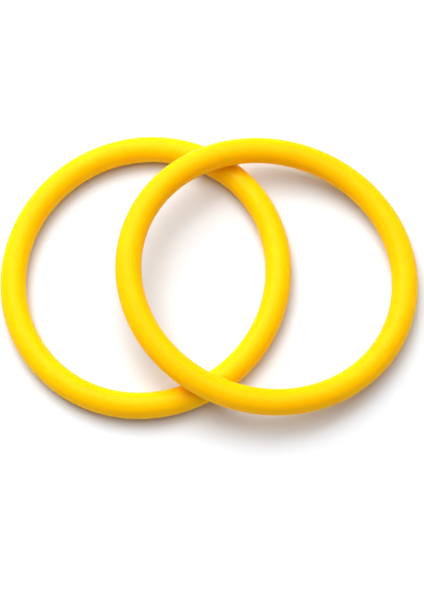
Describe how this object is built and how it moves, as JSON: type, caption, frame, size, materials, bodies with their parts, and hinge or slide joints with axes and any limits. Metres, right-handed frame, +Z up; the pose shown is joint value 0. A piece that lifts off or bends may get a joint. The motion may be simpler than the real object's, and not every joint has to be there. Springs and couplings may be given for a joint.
{
  "type": "juggling rings",
  "caption": "Plain round-section juggling rings in yellow rubber: the lower lies flat and the upper leans across it with its far side on the ground.",
  "frame": {"origin": "on the ground, under the middle of the pair's bounding box", "axes": "+Z up; +X from the lower ring's centre towards the upper ring's centre; +Y away from someone who has the lower ring on their left"},
  "size_m": [0.239, 0.1734, 0.0366],
  "materials": {
    "lower_ring": "satin",
    "upper_ring": "satin"
  },
  "bodies": {
    "lower_ring": {"lower_ring": "lower_ring"},
    "upper_ring": {"upper_ring": "upper_ring"}
  },
  "joints": [
    {"name": "upper_ring_lift", "type": "slide", "parent": "lower_ring", "child": "upper_ring", "axis": [0, 0, 1], "range_m": [0, 0.06]}
  ]
}
